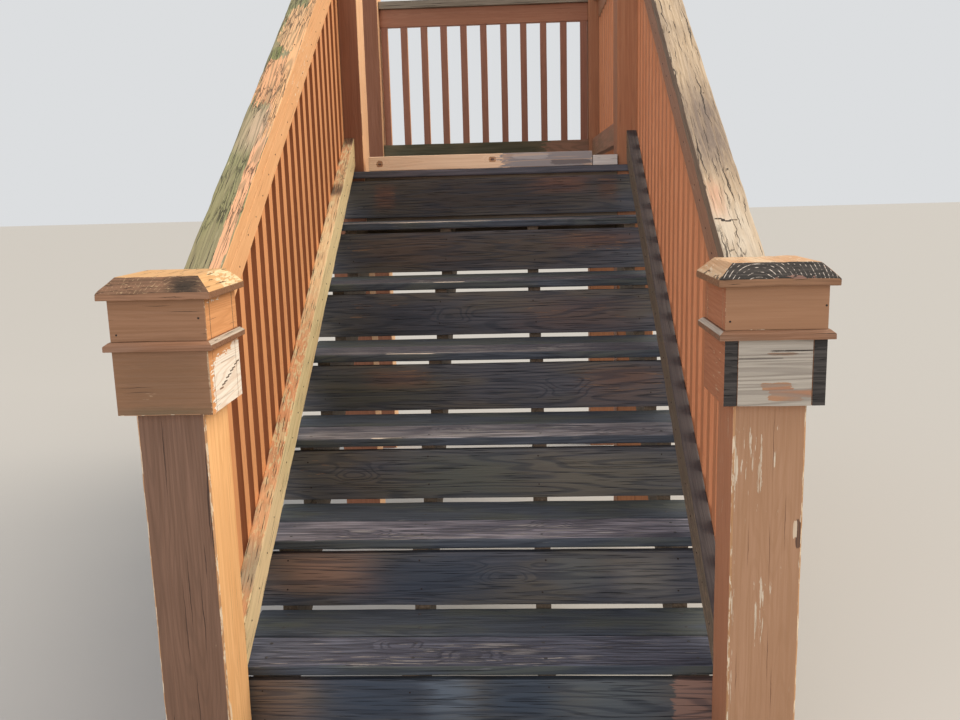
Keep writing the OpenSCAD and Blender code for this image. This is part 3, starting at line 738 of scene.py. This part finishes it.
# Upper rails
# Narrow softwood planks on edge below the handrails, nailed to the balusters' tops; their stain
# still holds on the left, brightened there as painted sunlight, and is scuffed and dull on the right.

# Left: a closed, smooth orange film in which the grain hardly shows, brightened as painted sunlight
rail_bright = timber(
    "rail_stain_painted_sunlit", UPHILL, "#EAB582", "#CF9766", "#F2E2C6", "#5A3A24", vein=0.45, worn=0.05,
    flake=(40, 6), patch=("#E0A773", 0.4), checks=((0.15, 14, 160, 0.7, 0.4),), bump=0.4,
    spots=[(-554, 260, 1140, 20, 70, 80, 0.2), (-554, 1150, 1800, 20, 200, 140, 0.1)])

# Right: the same film gone dull brown, scuffed pale in places
rail_dull = timber(
    "scuffed_brown_stain", UPHILL, "#A0785F", "#82614E", "#B9A08C", "#3A2A20", vein=0.5, worn=0.05,
    patch=("#926C54", 0.6), checks=((0.2, 12, 160, 0.6, 0.4),), bump=0.5,
    spots=[(554, 300, 1170, 20, 250, 200, 0.1), (554, 700, 1450, 20, 150, 120, 0.08)])

for hand, finish, seed in (("left", rail_bright, 33), ("right", rail_dull, 34)):
    piece = dressed("upper_rail_" + hand, Y, step=0.06, ease=0.0015, wobble=0.0007, seed=seed)
    coat(piece, "stained_rail", finish)

# Handrails
# Flat softwood planks nailed on the upper rails and balusters. The left one is bare, grey and
# grown over with lichen below remains of stain; the right one is bare and deeply checked.

# Left top: grey wood under green-grey lichen, salmon remains of stain along the inner side
lichened = timber(
    "grey_wood_with_lichen", UPHILL, "#9F9475", "#7B7156", "#CDBF9C", "#23201A", vein=0.8, worn=0.3,
    flake=(60, 7), patch=("#83855A", 0.7), checks=((0.6, 8, 150, 0.9, 0.8),), figure=(50, 12, 0.5),
    crazed=(120, 8, 0.53), bump=1.0,
    stains=[(-625, 420, 1355, 50, 260, 220, "#857F58", 0.55), (-572, 560, 1450, 15, 600, 500, "#DDA67E"),
            (-590, 800, 1612, 40, 100, 140, "#C2A68B", 0.8), (-596, 1010, 1750, 50, 130, 160, "#D9A378"),
            (-585, 1290, 1945, 52, 140, 160, "#D8AC80"), (-560, 1300, 1950, 20, 600, 600, "#E0AD7D"),
            (-620, 1150, 1850, 12, 40, 50, "#7F8450")])

# Right top: pale dry wood with long dark checks and one jagged crack across it
checked = timber(
    "pale_checked_softwood", UPHILL, "#C8B193", "#A58D70", "#D6C7AC", "#241B14", vein=0.75, worn=0.3,
    patch=("#A08D78", 0.7),
    checks=((0.95, 60, 420, 1.9, 0.55), (0.5, 19, 130, 1.1, 0.8), (0.35, 9, 90, 0.6, 0.5)),
    figure=(60, 12, 0.35), crazed=(60, 14, 0.62), bump=1.0,
    stains=[(590, 360, 1310, 60, 130, 120, "#D2C4AE", 0.7),
            (600, 730, 1565, 60, 220, 190, "#76665A", 0.95), (572, 470, 1386, 20, 70, 60, "#CF9A7C", 0.6),
            (564, 403, 1340, 9, 2.6, 6, "#33281F"), (575, 398, 1337, 5, 5, 6, "#33281F"),
            (584, 395, 1335, 8, 2.4, 6, "#33281F"), (598, 398, 1337, 9, 2, 6, "#3A2E25")])

# Right inner edge: olive brown, darker than the top as painted shade
rail_edge_right = timber(
    "olive_brown_rail_edge_painted_shade", UPHILL, "#8A7763", "#6A5B4E", "#A5917A", "#2A231D", vein=0.7, worn=0.2,
    patch=("#786453", 0.6), checks=((0.4, 8, 150, 0.7, 0.4),), bump=0.7)

# The left handrail's inner edge shares the left upper rail's stain, with its painted sunlight
for hand, finish, edge_finish, slot, seed in (("left", lichened, rail_bright, "handrail_lichen", 35),
                                              ("right", checked, rail_edge_right, "handrail_bare", 36)):
    inward = 1 if hand == "left" else -1
    piece = dressed("handrail_" + hand, Y, step=0.025, ease=0.004, wobble=0.0022, seed=seed)
    # The right handrail's inner edge is painted shade
    coat(piece, slot, finish, (lambda n, c: n.x * inward > 0.6, edge_finish))

# Balusters
# Square softwood sticks nailed to the lower rails and cut to the slope below the upper rails;
# their orange-red stain is the best kept of all.

# Left, the faces at the sides: a clear orange, the stain painted sunlit
bar_lit = timber(
    "baluster_stain_painted_sunlit", UPRIGHT, "#DF9F6C", "#C88453", "#EACBA4", "#5A2E1A", vein=0.45, worn=0.0,
    patch=("#D59360", 0.4), checks=((0.1, 12, 160, 0.5, 0.4),), bump=0.3)

# Left, fronts and backs: the same stain with painted shade, red-brown, so that the row reads as light and
# dark stripes
bar_shade = timber(
    "baluster_stain_painted_shade", UPRIGHT, "#A3623A", "#8A4D2A", "#C99670", "#3A1E12", vein=0.5, worn=0.0,
    patch=("#965630", 0.4), checks=((0.1, 12, 160, 0.5, 0.4),), bump=0.3)

# Right, all sides: a duller orange
bar_right = timber(
    "dull_orange_stain", UPRIGHT, "#C2835C", "#A96B47", "#CDA684", "#4A2818", vein=0.5, worn=0.0,
    patch=("#BC7C55", 0.5), checks=((0.1, 12, 160, 0.5, 0.4),), bump=0.3)

piece = dressed("balusters_left", Z, step=0.12, ease=0.0014, wobble=0.0007, shift=0.0008, seed=37)
# Sides carry painted sunlight, fronts and backs painted shade
coat(piece, "stained_baluster", bar_lit, (lambda n, c: abs(n.y) > 0.7, bar_shade))
piece = dressed("balusters_right", Z, step=0.12, ease=0.0014, wobble=0.0007, shift=0.0008, seed=38)
coat(piece, "stained_baluster", bar_right)

# Landing posts
# Four 140 mm square softwood posts, stained like the newels, each in one length from the ground
# up through the landing. They carry its frame and its guards.

# Fronts and left sides: plain brown
post_brown = timber(
    "brown_post_stain", UPRIGHT, "#8E5D43", "#784A34", "#C3A586", "#3C2417", vein=0.5, worn=0.0,
    patch=("#855439", 0.5), checks=((0.15, 18, 300, 0.7, 0.4),), bump=0.4)

# Right sides: the brown stain painted sunlit, a pale orange
post_bright = timber(
    "post_stain_painted_sunlit", UPRIGHT, "#F2C295", "#DBA87B", "#EDD8B6", "#5A3A24", vein=0.45, worn=0.05,
    patch=("#D8A477", 0.4), checks=((0.15, 18, 300, 0.7, 0.4),), bump=0.4)

# Right posts: a duller, redder brown
post_shade = timber(
    "dull_post_stain", UPRIGHT, "#A8724F", "#905C3F", "#C3A586", "#3C2417", vein=0.5, worn=0.0,
    patch=("#9C6848", 0.5), checks=((0.15, 18, 300, 0.7, 0.4),), bump=0.4)

for node in ("landing_posts_front", "landing_posts_back"):
    piece = dressed(node, Z, step=0.08, ease=0.002, wobble=0.0007, seed=39)
    # Sides that face right are painted sunlit
    coat(piece, "stained_post", post_brown, (lambda n, c: n.x > 0.7, post_bright),
         (lambda n, c: c.x > 0 and n.x < 0.7, post_shade))

# Landing boards
# Softwood deck boards of the treads' kind with the same dark stain, screwed down to the joists
# and rims and notched round the posts.

# Dark grey stain, walked thin in long streaks
landing_finish = timber(
    "worn_dark_landing_stain", ACROSS, "#54535A", "#37383E", "#8A8280", "#19191C", vein=0.7, worn=0.3,
    flake=(90, 4), patch=("#625A5E", 0.5), checks=((0.3, 10, 240, 0.6, 0.3),), figure=(50, 12, 0.4),
    bump=0.8)

piece = dressed("landing_boards", X, step=0.08, ease=0.003, wobble=0.0009, seed=40)
coat(piece, "tread_wood", landing_finish)

# Edge board and block
# A new strip of planed pine nailed along the landing's front edge, with a short old block
# whose paint has gone white beside it.

# Fresh planed pine, cream and smooth, with two brown knots; the grey stretch on its right part, lighter above
# and darker below, is painted shade
pine = timber(
    "new_planed_pine", ACROSS, "#F0D0AF", "#D8B18D", "#EAD6BA", "#6A4630", vein=0.6, worn=0.0,
    patch=("#E6C3A1", 0.4), figure=(30, 8, 0.4), bump=0.25,
    knots=[(-420, 1806, 1531, 50, 20, 22), (10, 1806, 1536, 50, 20, 22)],
    stains=[(-420, 1806, 1531, 13, 20, 12, "#9A6A48"), (-420, 1806, 1531, 6, 20, 6, "#4F3020"),
            (10, 1806, 1536, 14, 20, 11, "#A67852"), (10, 1806, 1536, 6, 20, 6, "#5A3824"),
            # The grey stretch with its lighter top strip and darker bottom strip is painted shade
            (226, 1806, 1532, 196, 20, 50, "#8F8886"), (150, 1806, 1545, 70, 20, 12, "#A59E9B"),
            (300, 1806, 1520, 80, 20, 10, "#6F6765")])

# Old paint gone chalky, grey wood showing through it
white = timber(
    "whitened_old_paint", ACROSS, "#C9C2BB", "#A8A19B", "#8A817C", "#4C4643", vein=0.5, worn=0.2,
    patch=("#B5ADA7", 0.5), checks=((0.3, 10, 60, 0.6, 0.4),), bump=0.4)

coat(dressed("edge_board", X, step=0.03, ease=0.001, wobble=0.0009, seed=41), "new_pine", pine)
coat(dressed("edge_block", X, step=0.02, ease=0.001, wobble=0.0009, seed=42), "white_wood", white)

# Landing guards
# Softwood caps, upper rails and bottom rails between the landing posts, with balusters like the
# flight's, all nailed. They stand in the shade, so the stain is a plain brown and the bottom
# rail has greened.

# Upper rails: a plain even brown
guard_brown = timber(
    "plain_brown_guard_stain", ACROSS, "#A36E52", "#8E5B42", "#B59A7C", "#3C2417", vein=0.45, worn=0.0,
    patch=("#98654A", 0.5), checks=((0.12, 16, 260, 0.6, 0.3),), bump=0.35)

# Bottom rail: green-brown, much darker than the rails above
guard_olive = timber(
    "greened_bottom_rail", ACROSS, "#55503A", "#3F3B26", "#8A7B5C", "#1F1C12", vein=0.7, worn=0.1,
    patch=("#6A5A40", 0.6), checks=((0.2, 12, 200, 0.6, 0.3),), bump=0.5,
    stains=[(470, 3312, 1632, 240, 100, 60, "#8B664F")])

# Side rails: lighter, with grey-brown patches where the stain is thin
guard_side = timber(
    "brown_side_rail_stain", BACKWARD, "#AD7A5C", "#92664B", "#B59A7C", "#3C2417", vein=0.5, worn=0.05,
    patch=("#876E52", 0.6), checks=((0.2, 14, 220, 0.6, 0.3),), bump=0.4)

# Balusters: dull brown with faint grain
guard_bars = timber(
    "brown_guard_bar_stain", UPRIGHT, "#98664F", "#825440", "#DDC6AC", "#3C2417", vein=0.5, worn=0.0,
    patch=("#96664F", 0.4), checks=((0.1, 12, 160, 0.5, 0.4),), bump=0.3)

# Bare softwood caps, rained on: grey, ribbed by the grain and checked
cap_grey = {}
for name, lie in (("grey_guard_cap", ACROSS), ("grey_side_cap", BACKWARD)):
    cap_grey[name] = timber(
        name, lie, "#8F8271", "#6C604F", "#A89A86", "#2E261E", vein=0.8, worn=0.3, patch=("#7E725F", 0.5),
        checks=((0.6, 12, 260, 0.9, 0.5),), bump=0.8)

piece = dressed("back_guard_rails", X, step=0.08, ease=0.002, wobble=0.0007, seed=43)
coat(piece, "stained_rail", guard_brown, (lambda n, c: c.z < at(0, 0, 1800)[2], guard_olive))
piece = dressed("side_guard_rails", Y, step=0.08, ease=0.002, wobble=0.0007, seed=44)
coat(piece, "stained_rail", guard_side)
for node, axis, name, seed in (("back_guard_cap", X, "grey_guard_cap", 45),
                               ("side_guard_cap", Y, "grey_side_cap", 46)):
    piece = dressed(node, axis, step=0.06, ease=0.003, wobble=0.0012, seed=seed)
    coat(piece, "handrail_bare", cap_grey[name])
piece = dressed("back_guard_balusters", Z, step=0.12, ease=0.0012, wobble=0.0007, shift=0.0006, seed=47)
# The sides that face right carry the painted sunlight of the left balusters' stain
coat(piece, "stained_baluster", guard_bars, (lambda n, c: n.x > 0.7, bar_lit))
piece = dressed("side_guard_balusters", Z, step=0.12, ease=0.0012, wobble=0.0007, shift=0.0006, seed=48)
coat(piece, "stained_baluster", bar_right)


# Screws and nails
# Countersunk deck screws with a cross recess, their zinc gone dull, two to each crossing of a
# board and the timber below it; round wire nails, rusted brown, hold the risers, rails and bands.
def metal(name, tone, deep):
    """Dull weathered metal with a mottled tarnish. Real tarnish is finer; 2 mm spots show."""
    spot_mm = 2
    made = bpy.data.materials.new(name)
    made.use_nodes = True
    tree = made.node_tree
    shader = tree.nodes["Principled BSDF"]
    where = put(tree, "ShaderNodeTexCoord").outputs["Object"]
    mottle = put(tree, "ShaderNodeTexNoise", {}, {"Vector": where, "Scale": 1000 / spot_mm, "Detail": 2.0})
    share = put(tree, "ShaderNodeMapRange", {}, {"Value": mottle, "From Min": 0.35, "From Max": 0.65})
    shade = put(tree, "ShaderNodeMix", COLOURS, {0: share, 6: colour(tone), 7: colour(deep)})
    tree.links.new(shade.outputs[2], shader.inputs["Base Color"])
    shader.inputs["Metallic"].default_value = 0.6
    shader.inputs["Roughness"].default_value = 0.62
    return made


def heads(name, finish, places, radius, proud, recess):
    """Sets one head on each point, turned to face the way that is given with it."""
    # Rings of the dome, as shares of the head's radius and of how far it stands proud
    rings = [(1.0, -1.2), (1.0, 0.15), (0.86, 0.7), (0.5, 1.0)]
    source = bmesh.new()
    turns = [(math.cos(a * math.pi / 6), math.sin(a * math.pi / 6)) for a in range(12)]
    loops = [[source.verts.new((r * c, r * s, z)) for c, s in turns] for r, z in rings]

    # The cross: four arms sunk into the top
    if recess:
        for z in (1.0, -0.4):
            loops.append([])
            for a, (c, s) in enumerate(turns):
                r = 0.44 if a % 3 == 0 else 0.16
                loops[-1].append(source.verts.new((r * c, r * s, z)))
    for lower, upper in zip(loops, loops[1:]):
        for a in range(12):
            source.faces.new((lower[a], lower[(a + 1) % 12], upper[(a + 1) % 12], upper[a]))
    source.faces.new(loops[-1])
    head_mesh = bpy.data.meshes.new(name + "_head")
    source.to_mesh(head_mesh)
    source.free()
    head = bpy.data.objects.new(name + "_head", head_mesh)
    scene.collection.objects.link(head)
    mesh = bpy.data.meshes.new(name + "_points")
    mesh.from_pydata([spot for spot, way in places], [], [])
    facing = mesh.attributes.new("facing", "FLOAT_VECTOR", "POINT")
    for entry, (spot, way) in zip(facing.data, places):
        entry.vector = way
    points = bpy.data.objects.new(name + "_points", mesh)
    scene.collection.objects.link(points)
    tree = bpy.data.node_groups.new(name + "_tree", "GeometryNodeTree")
    tree.interface.new_socket("Geometry", in_out="INPUT", socket_type="NodeSocketGeometry")
    radius_in = tree.interface.new_socket("Head radius", in_out="INPUT", socket_type="NodeSocketFloat")
    proud_in = tree.interface.new_socket("Proud height", in_out="INPUT", socket_type="NodeSocketFloat")
    head_in = tree.interface.new_socket("Head", in_out="INPUT", socket_type="NodeSocketObject")
    tree.interface.new_socket("Geometry", in_out="OUTPUT", socket_type="NodeSocketGeometry")
    enter = put(tree, "NodeGroupInput")
    read = put(tree, "GeometryNodeInputNamedAttribute", {"data_type": "FLOAT_VECTOR"}, {"Name": "facing"})
    turned = put(tree, "FunctionNodeAlignRotationToVector", {"axis": "Z"}, {"Vector": read})
    spin = put(tree, "FunctionNodeRandomValue", {"data_type": "FLOAT"}, {2: 0.0, 3: 6.28, "Seed": 5})
    spin = put(tree, "ShaderNodeCombineXYZ", {}, {"Z": spin.outputs[1]})
    turned = put(tree, "FunctionNodeRotateRotation", {"rotation_space": "LOCAL"}, {0: turned, 1: spin})
    size = put(tree, "ShaderNodeCombineXYZ", {},
               {"X": enter.outputs["Head radius"], "Y": enter.outputs["Head radius"],
                "Z": enter.outputs["Proud height"]})
    shape = put(tree, "GeometryNodeObjectInfo", {}, {"Object": enter.outputs["Head"]}).outputs["Geometry"]
    stand = put(tree, "GeometryNodeInstanceOnPoints", {},
                {"Points": enter.outputs["Geometry"], "Instance": shape, "Rotation": turned, "Scale": size})
    real = put(tree, "GeometryNodeRealizeInstances", {}, {"Geometry": stand})
    dyed = put(tree, "GeometryNodeSetMaterial", {}, {"Geometry": real, "Material": finish})
    put(tree, "NodeGroupOutput", {}, {"Geometry": dyed})
    modifier = points.modifiers.new("heads", "NODES")
    modifier.node_group = tree
    modifier[radius_in.identifier] = radius
    modifier[proud_in.identifier] = proud
    modifier[head_in.identifier] = head
    bpy.context.view_layer.update()
    real_mesh = bpy.data.meshes.new_from_object(points.evaluated_get(bpy.context.evaluated_depsgraph_get()))
    points.modifiers.remove(modifier)
    bpy.data.objects.remove(points)
    bpy.data.objects.remove(head)
    made = bpy.data.objects.new(name, real_mesh)
    scene.collection.objects.link(made)
    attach(made, "root")


def nosing(y):
    """The height of the line over the treads' front edges, in mm."""
    return 2 * RISE + (y - TREAD_2) * RISE / GOING


chance = random.Random(77)

# Two screws to a board, 35 mm from each edge, at each stringer, carriage, rim and joist. Every
# head is set 0.2 mm into its wood, so that none hangs clear of an uneven face
sunk = 0.2
first_board_y, board_pitch = 1802, 146
screws = []
for k in range(1, 8):
    for row in (35, 105, 181, 251):
        for x in (-489.545, -152.675, 152.675, 489.545):
            y = nosing_y(k) + row + chance.uniform(-4, 4)
            screws.append((at(x + chance.uniform(-5, 5), y, k * RISE - sunk), (0, 0, 1)))
for board in range(1, 11):
    for row in (35, 105):
        for x in (-700, -231.5, 0, 231.5, 560):
            # The back boards' ends and the end beside the right front post have none
            if not (board > 8 and abs(x) > 500) and not (board < 2 and x > 500):
                y = first_board_y + board * board_pitch + row
                screws.append((at(x + chance.uniform(-5, 5), y, 8 * RISE - sunk), (0, 0, 1)))

# Zinc gone dull: a mottled grey, half matt
dull_zinc = metal("dull_zinc", "#5F5E60", "#3A3736")
heads("deck_screws", dull_zinc, screws, radius=0.0042, proud=0.0007, recess=True)

# Nails: two above each other through the risers, one through each rail at each baluster, pairs
# down the handrails, and two in the front of each upper band
riser_face_y, riser_foot_z = 3, 11.5
first_bar_y, bar_pitch = 187, 76.9
nails = []
for j in range(1, 9):
    for x in (-490, -155, 155, 490):
        for z in (40, 115):
            y = nosing_y(j) + riser_face_y + sunk
            z += (j - 1) * RISE + riser_foot_z + chance.uniform(-8, 8)
            nails.append((at(x + chance.uniform(-6, 6), y, z), (0, -1, 0)))
for i in range(22):
    for hand in (-1, 1):
        for height, x in ((704, 553.8), (60, 515.8)):
            y = first_bar_y + i * bar_pitch + chance.uniform(-5, 5)
            nails.append((at(hand * x, y, nosing(y) + height + chance.uniform(-8, 8)), (-hand, 0, 0)))
for hand in (-1, 1):
    for y in range(260, 1800, 310):
        # The heads face square to the slope
        for x in (572, 618):
            nails.append((at(hand * x, y + chance.uniform(-10, 10), nosing(y) + 788.6), (0, -0.563, 0.826)))
for x, z in ((500, 1163), (676, 1190), (-505, 1190), (-668, 1160)):
    nails.append((at(x, -24.8, z), (0, -1, 0)))

# Rusted steel: brown-black and matt
rusted_steel = metal("rusted_steel", "#3B2E27", "#251C18")
heads("rusted_nails", rusted_steel, nails, radius=0.0022, proud=0.0006, recess=False)
